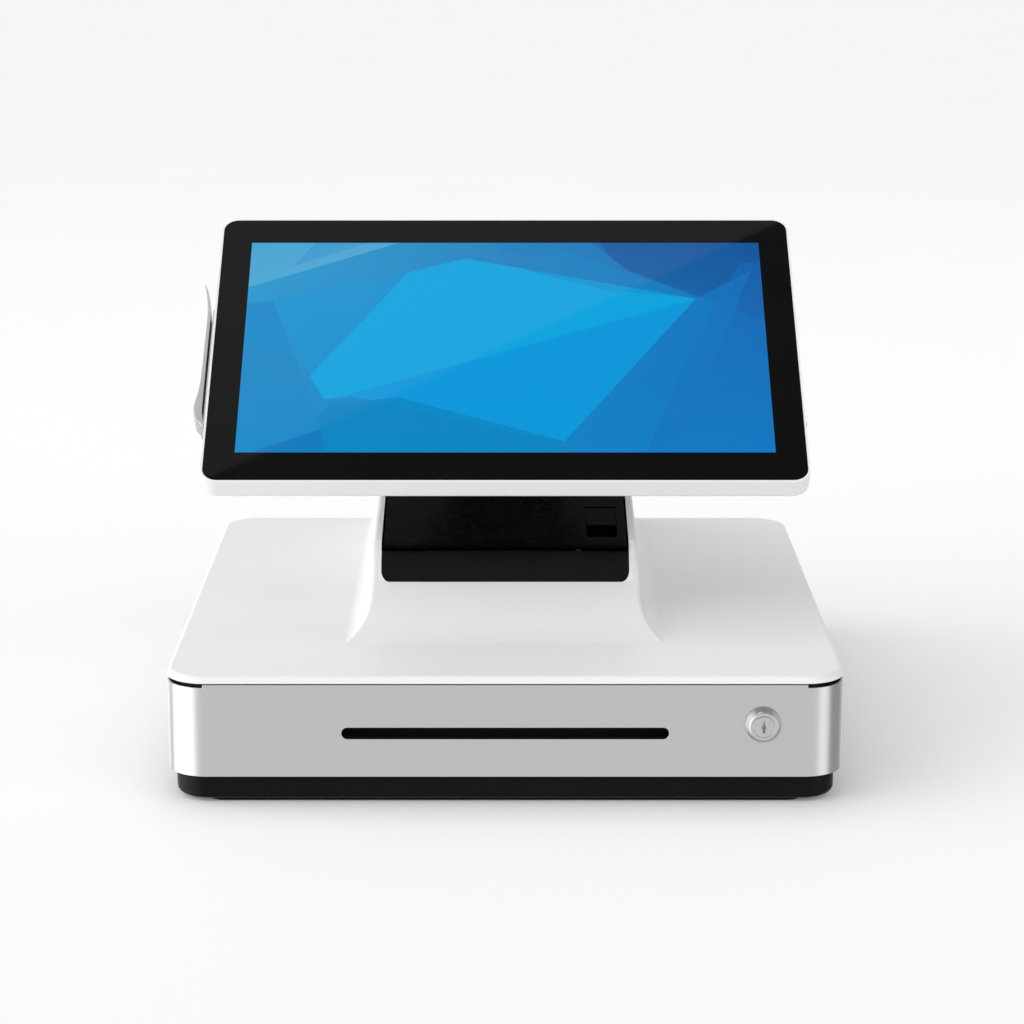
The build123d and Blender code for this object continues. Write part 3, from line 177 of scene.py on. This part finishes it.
lock_low, lock_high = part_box("lock_plug")
board_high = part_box("io_board")[1]
roll_low, roll_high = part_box("paper_roll")
lock_centre = tuple((lock_low + lock_high) / 2)
roll_centre = tuple((roll_low + roll_high) / 2)
IO_BOARD_TOP = 88.25 * MM
BRUSHED_X = (0.02, 1.0, 1.0)
BRUSHED_Z = (1.0, 1.0, 0.04)
finishes = {
    "rubber_black": finish("rubber_black", 0.008, 0.78, mottle=0.2, grain=0.05, grain_scale=900.0,
                           specular=0.05),
    "plinth_black": finish("plinth_black", 0.004, 0.42, mottle=0.15, grain=0.03, grain_scale=2200.0,
                           specular=0.08, wear=0.015),
    "zinc_steel": finish("zinc_steel", (0.56, 0.58, 0.60), 0.36, 1.0, mottle=0.14, mottle_scale=90.0,
                         stretch=BRUSHED_X, wear=0.75),
    "screw_steel": finish("screw_steel", (0.50, 0.50, 0.51), 0.28, 1.0, mottle=0.1, wear=0.7),
    "silver_sheet": finish("silver_sheet", (0.50, 0.50, 0.50), 0.27, 0.9, mottle=0.002, mottle_scale=6.0,
                           gloss_drift=0.01, grain=0.0, grain_scale=420.0, stretch=BRUSHED_X),
    "shadow_black": finish("shadow_black", 0.008, 0.55, mottle=0.15, grain=0.03, wear=0.03),
    "cover_white": finish("cover_white", (0.80, 0.80, 0.802), 0.34, mottle=0.004, mottle_scale=6.0,
                          grain=0.0, gloss_drift=0.03, grain_scale=300.0, specular=0.14, coat=0.0),
    "nylon_white": finish("nylon_white", (0.74, 0.72, 0.66), 0.48, mottle=0.05, wear=0.8),
    "drawer_black": finish("drawer_black", 0.018, 0.5, 0.2, mottle=0.15, grain=0.06, grain_scale=1400.0,
                           wear=0.12),
    "tray_black": finish("tray_black", 0.020, 0.52, mottle=0.18, grain=0.07, grain_scale=1100.0, wear=0.06),
    "lock_chrome": finish("lock_chrome", (0.50, 0.50, 0.51), 0.16, 1.0, mottle=0.05, grain=0.012, wear=0.85,
                          rings=(lock_centre, "Y", 420.0)),
    "coil_black": finish("coil_black", 0.020, 0.45, mottle=0.1, wear=0.05),
    "fascia_black": finish("fascia_black", 0.003, 0.32, mottle=0.15, grain=0.01, grain_scale=2400.0,
                           specular=0.12, wear=0.02),
    "ceramic_head": finish("ceramic_head", (0.62, 0.60, 0.56), 0.35, 0.6, wear=0.8),
    "motor_steel": finish("motor_steel", (0.42, 0.42, 0.43), 0.32, 1.0, stretch=BRUSHED_Z, wear=0.7),
    "receipt_paper": finish("receipt_paper", (0.80, 0.80, 0.78), 0.62, mottle=0.03, grain=0.02,
                            rings=(roll_centre, "X", 500.0)),
    "blade_steel": finish("blade_steel", (0.62, 0.62, 0.64), 0.22, 1.0, stretch=BRUSHED_X, wear=0.85),
    "lid_black": finish("lid_black", 0.002, 0.28, mottle=0.15, grain=0.004, grain_scale=2000.0,
                        specular=0.012, wear=0.01),
    "psu_steel": finish("psu_steel", (0.50, 0.51, 0.52), 0.38, 1.0, mottle=0.1, stretch=BRUSHED_X,
                        wear=0.7),
    "board_green": shelled(finish("board_green", (0.010, 0.085, 0.035), 0.35, mottle=0.2,
                                  mottle_scale=160.0, coat=0.4, wear=(0.35, 0.28, 0.10)),
                           IO_BOARD_TOP, board_high[2], 0.03),
    "harness_black": finish("harness_black", 0.015, 0.5, mottle=0.1, grain=0.05, stretch=(1.0, 1.0, 0.3)),
    "reader_grey": finish("reader_grey", (0.40, 0.41, 0.42), 0.33, 0.35, mottle=0.04, grain=0.01, wear=0.6),
    "hinge_steel": finish("hinge_steel", 0.020, 0.42, 0.5, mottle=0.15, wear=0.3),
    "clip_grey": finish("clip_grey", 0.075, 0.45, mottle=0.12, wear=0.15),
}

# ------------------------------------------------------------------ the screen's own axes
LEAN = math.radians(54.46)                           # back from the vertical
ACROSS = Vector((1, 0, 0))
UP = Vector((0, math.sin(LEAN), math.cos(LEAN)))
OUT = ACROSS.cross(UP)
glass_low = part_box("cover_glass")[0]
GLASS_THICKNESS = 2 * MM
screen_foot = Vector((0, glass_low.y, glass_low.z + GLASS_THICKNESS * OUT.z))
ACTIVE_SIZE = (344.2 * MM, 193.6 * MM)
BORDER_BELOW = 23.2 * MM
active_corner = screen_foot + UP * BORDER_BELOW - ACROSS * (ACTIVE_SIZE[0] / 2)


def on_screen(across, up, depth=0.0):
    """A point on the screen: across from its middle, up from the glass's lower edge, a depth behind it."""
    return screen_foot + ACROSS * across + UP * up - OUT * depth


# The picture: flat facets laid over each other, each with corners in shares of the lit area, a colour, how
# strongly it covers, and the distance from its first edge over which it fades, or none.
FACETS = [
    ([(-0.1, 0.70), (0.42, 1.1), (-0.1, 1.1)], (0.10, 0.42, 0.66), 0.70, 0.45),
    ([(0.08, 0.88), (0.02, 0.70), (0.16, 1.1), (0.36, 1.1)], (0.02, 0.26, 0.58), 0.45, 0.5),
    ([(0.62, 1.1), (1.1, 1.1), (1.1, 0.52), (0.74, 0.86)], (0.004, 0.075, 0.30), 0.80, 0.75),
    ([(0.43, 1.1), (0.66, 1.1), (0.72, 0.88), (0.50, 0.95)], (0.006, 0.20, 0.52), 0.45, None),
    ([(-0.1, 0.66), (0.05, 0.71), (0.10, 0.44), (0.15, 0.16), (0.18, -0.1), (-0.1, -0.1)],
     (0.008, 0.19, 0.50), 0.55, 0.6),
    ([(-0.1, 0.56), (0.10, 0.44), (0.05, 0.71), (-0.1, 0.66)], (0.008, 0.27, 0.62), 0.50, 0.35),
    ([(0.05, 0.71), (0.13, 0.36), (0.31, 0.84), (0.20, 0.80)], (0.004, 0.30, 0.64), 0.60, None),
    ([(-0.1, -0.1), (0.05, 0.02), (0.15, 0.16), (0.18, -0.1)], (0.002, 0.15, 0.46), 0.55, 0.3),
    ([(0.42, 0.92), (0.31, 0.85), (0.13, 0.35), (0.16, 0.24), (0.22, 0.26), (0.87, 0.72)],
     (0.000, 0.375, 0.74), 0.94, None),
    ([(0.20, 0.26), (0.87, 0.72), (0.61, 0.05), (0.50, 0.10)], (0.000, 0.315, 0.71), 0.94, None),
    ([(0.60, 0.98), (0.88, 0.72), (0.70, 0.76), (0.54, 0.86)], (0.004, 0.24, 0.57), 0.45, None),
    ([(0.87, 0.72), (0.98, 0.86), (0.80, -0.1), (0.58, -0.1)], (0.004, 0.20, 0.55), 0.60, 0.9),
    ([(0.94, 0.90), (0.84, 0.40), (0.72, -0.1), (1.1, -0.1), (1.1, 0.9)], (0.006, 0.15, 0.50), 0.45, 0.8),
    ([(0.15, 0.16), (0.17, 0.22), (0.30, 0.25), (0.61, 0.05), (0.58, -0.1), (0.18, -0.1)],
     (0.000, 0.235, 0.53), 0.80, None),
]


def facet_mask(tree, place, corners, fade):
    """1 inside a convex facet and 0 outside, with a line of a quarter of a millimetre between."""
    points = [Vector((u * ACTIVE_SIZE[0], v * ACTIVE_SIZE[1])) for u, v in corners]
    middle = sum(points, Vector((0, 0))) / len(points)
    inside = None
    for start, end in zip(points, points[1:] + points[:1]):
        normal = Vector((start.y - end.y, end.x - start.x)).normalized()
        if normal.dot(middle - start) < 0:
            normal = -normal
        line = (normal.x, normal.y, -normal.dot(start))
        distance = node(tree, "VectorMath", {0: place, 1: line}, operation="DOT_PRODUCT").outputs["Value"]
        if inside is None:
            first, inside = distance, distance
        else:
            inside = node(tree, "Math", {0: inside, 1: distance}, operation="MINIMUM").outputs["Value"]
    mask = remap(tree, inside, -0.12 * MM, 0.12 * MM, 0.0, 1.0)
    if fade:
        faded = remap(tree, first, 0.0, fade * ACTIVE_SIZE[1], 1.0, 0.15)
        mask = node(tree, "Math", {0: mask, 1: faded}, operation="MULTIPLY").outputs["Value"]
    return mask


def screen_glass():
    """Touch glass printed black round its edge, over the lit picture."""
    material = bpy.data.materials.new("screen_glass")
    material.use_nodes = True
    tree = material.node_tree
    shader = tree.nodes["Principled BSDF"]
    shader.inputs["Specular IOR Level"].default_value = 0.07
    place = node(tree, "TexCoord").outputs["Object"]
    local = node(tree, "VectorMath", {0: place, 1: active_corner}, operation="SUBTRACT").outputs["Vector"]
    u = node(tree, "VectorMath", {0: local, 1: ACROSS}, operation="DOT_PRODUCT").outputs["Value"]
    v = node(tree, "VectorMath", {0: local, 1: UP}, operation="DOT_PRODUCT").outputs["Value"]
    depth = node(tree, "VectorMath", {0: local, 1: OUT}, operation="DOT_PRODUCT").outputs["Value"]
    flat = node(tree, "CombineXYZ", {"X": u, "Y": v, "Z": 1.0}).outputs["Vector"]
    side = remap(tree, u, 0.0, ACTIVE_SIZE[0], 0.0, 1.0)
    height = remap(tree, v, 0.0, ACTIVE_SIZE[1], 0.0, 1.0)
    top = blended(tree, side, rgba((0.025, 0.33, 0.63)), rgba((0.006, 0.12, 0.40)))
    bottom = blended(tree, side, rgba((0.004, 0.25, 0.58)), rgba((0.002, 0.20, 0.56)))
    picture = blended(tree, height, bottom, top)
    for corners, colour, cover, fade in FACETS:
        mask = facet_mask(tree, flat, corners, fade)
        amount = node(tree, "Math", {0: mask, 1: cover}, operation="MULTIPLY").outputs["Value"]
        picture = blended(tree, amount, picture, rgba(colour))
    lit = facet_mask(tree, flat, [(0, 0), (1, 0), (1, 1), (0, 1)], None)
    front = remap(tree, depth, -0.2 * MM, -0.1 * MM, 0.0, 1.0)
    lit = node(tree, "Math", {0: lit, 1: front}, operation="MULTIPLY").outputs["Value"]
    smear = noise(tree, place, 14.0, 4.0)
    black = blended(tree, remap(tree, smear, 0.4, 0.7, 0.0, 1.0), rgba(0.0022), rgba(0.0034))
    tree.links.new(blended(tree, lit, black, rgba(0.0015)), shader.inputs["Base Color"])
    tree.links.new(remap(tree, smear, 0.35, 0.7, 0.018, 0.035), shader.inputs["Roughness"])
    tree.links.new(blended(tree, lit, rgba(0.0), picture), shader.inputs["Emission Color"])
    shader.inputs["Emission Strength"].default_value = 1.0
    return material


finishes["screen_glass"] = screen_glass()


# ------------------------------------------------------------------ pieces
def settle(piece, body, slot):
    """Gives a piece its finish, and the body that it moves with."""
    piece.data.materials.clear()
    piece.data.materials.append(finishes[slot])
    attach(piece, body)
    return piece


def linked(name, mesh):
    """An object in the scene that shows the mesh."""
    piece = bpy.data.objects.new(name, mesh)
    bpy.context.scene.collection.objects.link(piece)
    return piece


def from_bmesh(name, shape):
    """An object made from a bmesh, shaded smooth with its flat faces kept flat."""
    mesh = bpy.data.meshes.new(name)
    shape.to_mesh(mesh)
    shape.free()
    if "custom_normal" in mesh.attributes:
        mesh.attributes.remove(mesh.attributes["custom_normal"])
    for name_of_flags in ("sharp_face", "sharp_edge"):
        if name_of_flags in mesh.attributes:
            mesh.attributes.remove(mesh.attributes[name_of_flags])
    mesh.polygons.foreach_set("use_smooth", [True] * len(mesh.polygons))
    piece = linked(name, mesh)
    weighted = piece.modifiers.new("flat faces", "WEIGHTED_NORMAL")
    weighted.keep_sharp = False
    return piece


def round_edges(shape, width, sharpest=35.0):
    """Rounds the edges that turn by more than an angle."""
    edges = [e for e in shape.edges
             if len(e.link_faces) == 2 and e.calc_face_angle() > math.radians(sharpest)]
    bmesh.ops.bevel(shape, geom=edges, offset=width, offset_type="OFFSET", segments=2, profile=0.5,
                    affect="EDGES", clamp_overlap=True)


def softened(cad_node, width):
    """The CAD node's shape with its triangles joined into flat faces and its edges rounded."""
    shape = bmesh.new()
    shape.from_mesh(frame["nodes"][cad_node].data)
    bmesh.ops.remove_doubles(shape, verts=shape.verts, dist=2e-6)
    bmesh.ops.dissolve_limit(shape, angle_limit=math.radians(0.6), verts=shape.verts, edges=shape.edges)
    round_edges(shape, width)
    piece = from_bmesh(cad_node + "_look", shape)
    settle(piece, body_of[cad_node], slot_of[cad_node])
    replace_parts(piece, cad_node)
    return piece


EDGE = 0.3 * MM
FINE_EDGE = 0.12 * MM
FINE = {"feed_pinion", "idler_gear", "platen_shaft", "paper_web", "fixed_blade", "moving_blade",
        "receipt_paper", "cover_glass", "io_board", "power_button", "lid_lever"}
SPECIAL = {"card_reader"}
BROAD_EDGE = 0.55 * MM
BROAD = {"lock_plug", "lock_barrel"}
for cad_node in sorted(frame["nodes"]):
    if cad_node not in SPECIAL:
        softened(cad_node, FINE_EDGE if cad_node in FINE else BROAD_EDGE if cad_node in BROAD else EDGE)

# The card reader: a fin on the screen's left side that flares at both ends, with a slot down its length.
# Each point is a height up the lit area, the blade's inner and outer reach from the housing, and the depth of
# its back.
READER_BLADE = [(24.5, 0.1, 0.9, 12.5), (28, 0.8, 3.9, 14.5), (32, 1.6, 6.6, 15.6), (38, 2.3, 7.9, 15.8),
                (43, 2.4, 8.0, 15.8), (49, 2.4, 7.2, 15.8), (57, 2.4, 6.0, 15.8), (70, 2.4, 5.2, 15.8),
                (95, 2.4, 4.9, 15.8), (124, 2.4, 4.7, 15.8), (132, 2.7, 5.0, 15.0), (140, 3.8, 5.8, 13.5),
                (148, 5.6, 7.0, 11.5), (154.5, 7.6, 8.1, 9.0)]
READER_NEAR = 1.2
READER_SLOT = (0.9, 12.5)                                 # its inner side, and its floor's depth
READER_BASE = (26.0, 130.0, 15.8)                         # bottom, top, back
READER_STEPS = 5


def smooth_line(points, steps):
    """Points along a curve through the given ones, each of as many numbers."""
    ends = [points[0]] + points + [points[-1]]
    curve = []
    for before, start, end, after in zip(ends, ends[1:], ends[2:], ends[3:]):
        for step in range(steps):
            t = step / steps
            curve.append(tuple(
                0.5 * (2 * b + (c - a) * t + (2 * a - 5 * b + 4 * c - d) * t * t
                       + (3 * b - a - 3 * c + d) * t ** 3)
                for a, b, c, d in zip(before, start, end, after)
            ))
    return curve + [points[-1]]


def lofted(name, sections, rounding):
    """A closed piece through loops of as many points, its ends capped and its sharp edges rounded."""
    shape = bmesh.new()
    loops = [[shape.verts.new(point) for point in section] for section in sections]
    for low, high in zip(loops, loops[1:]):
        for a, b, c, d in zip(low, low[1:] + low[:1], high[1:] + high[:1], high):
            shape.faces.new((a, b, c, d))
    shape.faces.new(reversed(loops[0]))
    shape.faces.new(loops[-1])
    bmesh.ops.recalc_face_normals(shape, faces=shape.faces)
    round_edges(shape, rounding, 50.0)
    return from_bmesh(name, shape)


def beside_housing(height, outline):
    """A section of the reader: its outline's points are reaches out from the housing, and depths."""
    side_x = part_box("card_reader")[1].x
    return [on_screen(side_x - out * MM, BORDER_BELOW + height * MM, depth * MM) for out, depth in outline]


def reader_blade():
    """The outer blade, which flares at its foot and stands away from the housing at its tip."""
    sections = []
    for height, inner, outer, back in smooth_line(READER_BLADE, READER_STEPS):
        crown = 0.4 * (outer - inner)
        outline = [(inner, READER_NEAR), (outer - crown, READER_NEAR),
                   (outer - 0.25 * crown, READER_NEAR + 0.4), (outer, READER_NEAR + 1.4),
                   (outer, back - 2.2), (outer - 0.4 * crown, back - 0.6), (outer - crown, back),
                   (inner, back)]
        sections.append(beside_housing(height, outline))
    return lofted("card_reader_blade", sections, 0.12 * MM)


def reader_base():
    """The strip against the housing and the floor of the slot."""
    slot_inner, floor_depth = READER_SLOT
    bottom, top, back = READER_BASE
    blade_inner = 2.6
    outline = [(0, READER_NEAR), (slot_inner, READER_NEAR), (slot_inner, floor_depth),
               (blade_inner, floor_depth), (blade_inner, back), (0, back)]
    return lofted("card_reader_base", [beside_housing(height, outline) for height in (bottom, top)],
                  0.12 * MM)


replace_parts(settle(reader_blade(), "display", "reader_grey"), "card_reader")
settle(reader_base(), "display", "reader_grey")

# ------------------------------------------------------------------ stage
FLOOR_HALF = 30.0
floor_shape = bmesh.new()
bmesh.ops.create_grid(floor_shape, x_segments=6, y_segments=6, size=FLOOR_HALF)
floor_mesh = bpy.data.meshes.new("floor")
floor_shape.to_mesh(floor_mesh)
floor_shape.free()
floor = linked("floor", floor_mesh)
floor.visible_glossy = False
floor_finish = bpy.data.materials.new("floor")
floor_finish.use_nodes = True
floor_tree = floor_finish.node_tree
FLOOR_GLOW = 0.10
floor_shader = floor_tree.nodes["Principled BSDF"]
floor_shader.inputs["Roughness"].default_value = 0.9
floor_shader.inputs["Specular IOR Level"].default_value = 0.1
floor_shader.inputs["Emission Color"].default_value = rgba(1.0)
floor_shader.inputs["Emission Strength"].default_value = FLOOR_GLOW
floor_drift = noise(floor_tree, node(floor_tree, "TexCoord").outputs["Object"], 3.0)
floor_tree.links.new(blended(floor_tree, floor_drift, rgba(0.88), rgba(0.90)),
                     floor_shader.inputs["Base Color"])
floor_mesh.materials.append(floor_finish)

# The studio's walls, by the direction they are seen in: white in front and low behind, a broad key on the
# left, a strip on the right, and dim overhead.
WALL = 0.44
FRONT, LEFT, RIGHT, BACK_LOW = 0.60, 2.3, 0.85, 1.3
world = bpy.data.worlds.new("studio")
world.use_nodes = True
sky = world.node_tree
direction = node(sky, "SeparateXYZ", {"Vector": node(sky, "TexCoord").outputs["Generated"]})
facing_x, facing_y, facing_z = (direction.outputs[axis] for axis in "XYZ")


def product(tree, *values):
    """All the values multiplied."""
    result = values[0]
    for value in values[1:]:
        result = node(tree, "Math", {0: result, 1: value}, operation="MULTIPLY").outputs["Value"]
    return result


def total(tree, *values):
    """All the values added."""
    result = values[0]
    for value in values[1:]:
        result = node(tree, "Math", {0: result, 1: value}, operation="ADD").outputs["Value"]
    return result


below_zenith = remap(sky, facing_z, 0.90, 0.955, 1.0, 0.0)
front_wall = product(sky, remap(sky, facing_y, -0.05, -0.60, 0.0, FRONT), below_zenith)
left_key = product(sky, remap(sky, facing_x, -0.45, -0.86, 0.0, LEFT),
                   remap(sky, facing_y, 0.25, 0.55, 1.0, 0.2), below_zenith)
right_strip = product(sky, remap(sky, facing_x, 0.62, 0.80, 0.0, RIGHT),
                      remap(sky, facing_y, -0.22, -0.08, 1.0, 0.0))
back_left = remap(sky, facing_x, 0.30, -0.30, 0.35, 1.0)
back_low = product(sky, remap(sky, facing_y, 0.60, 0.85, 0.0, BACK_LOW),
                   remap(sky, facing_z, 0.10, 0.22, 1.0, 0.5), back_left, below_zenith)
radiance = total(sky, front_wall, left_key, right_strip, back_low, WALL)
sky.links.new(radiance, sky.nodes["Background"].inputs["Strength"])
sky.nodes["Background"].inputs["Color"].default_value = rgba(1.0)
bpy.context.scene.world = world


def softbox(name, place, target, size, radiance):
    """A rectangular studio light, as bright as its radiance all over."""
    lamp = bpy.data.lights.new(name, "AREA")
    lamp.shape = "RECTANGLE"
    lamp.size, lamp.size_y = size
    lamp.energy = radiance * math.pi * size[0] * size[1]
    light = bpy.data.objects.new(name, lamp)
    bpy.context.scene.collection.objects.link(light)
    light.location = place
    light.rotation_euler = (Vector(target) - Vector(place)).to_track_quat("-Z", "Y").to_euler()
    light.visible_camera = False
    return light


# The overhead light's near edge crosses the glass's reflection from its lower left corner to its upper
# right one.
OVERHEAD_Z = 2.4
OVERHEAD_SIZE = (1.8, 1.0)
OVERHEAD_RADIANCE = 1.05
edge_start, edge_end = Vector((-0.422, 0.166, OVERHEAD_Z)), Vector((0.392, 0.534, OVERHEAD_Z))
edge_way = (edge_end - edge_start).normalized()
overhead_at = (edge_start + edge_end) / 2 + Vector((-edge_way.y, edge_way.x, 0)) * OVERHEAD_SIZE[1] / 2
overhead = softbox("overhead_softbox", overhead_at, overhead_at - Vector((0, 0, 1)), OVERHEAD_SIZE,
                   OVERHEAD_RADIANCE)
overhead.rotation_euler = (0, 0, math.atan2(edge_way.y, edge_way.x))
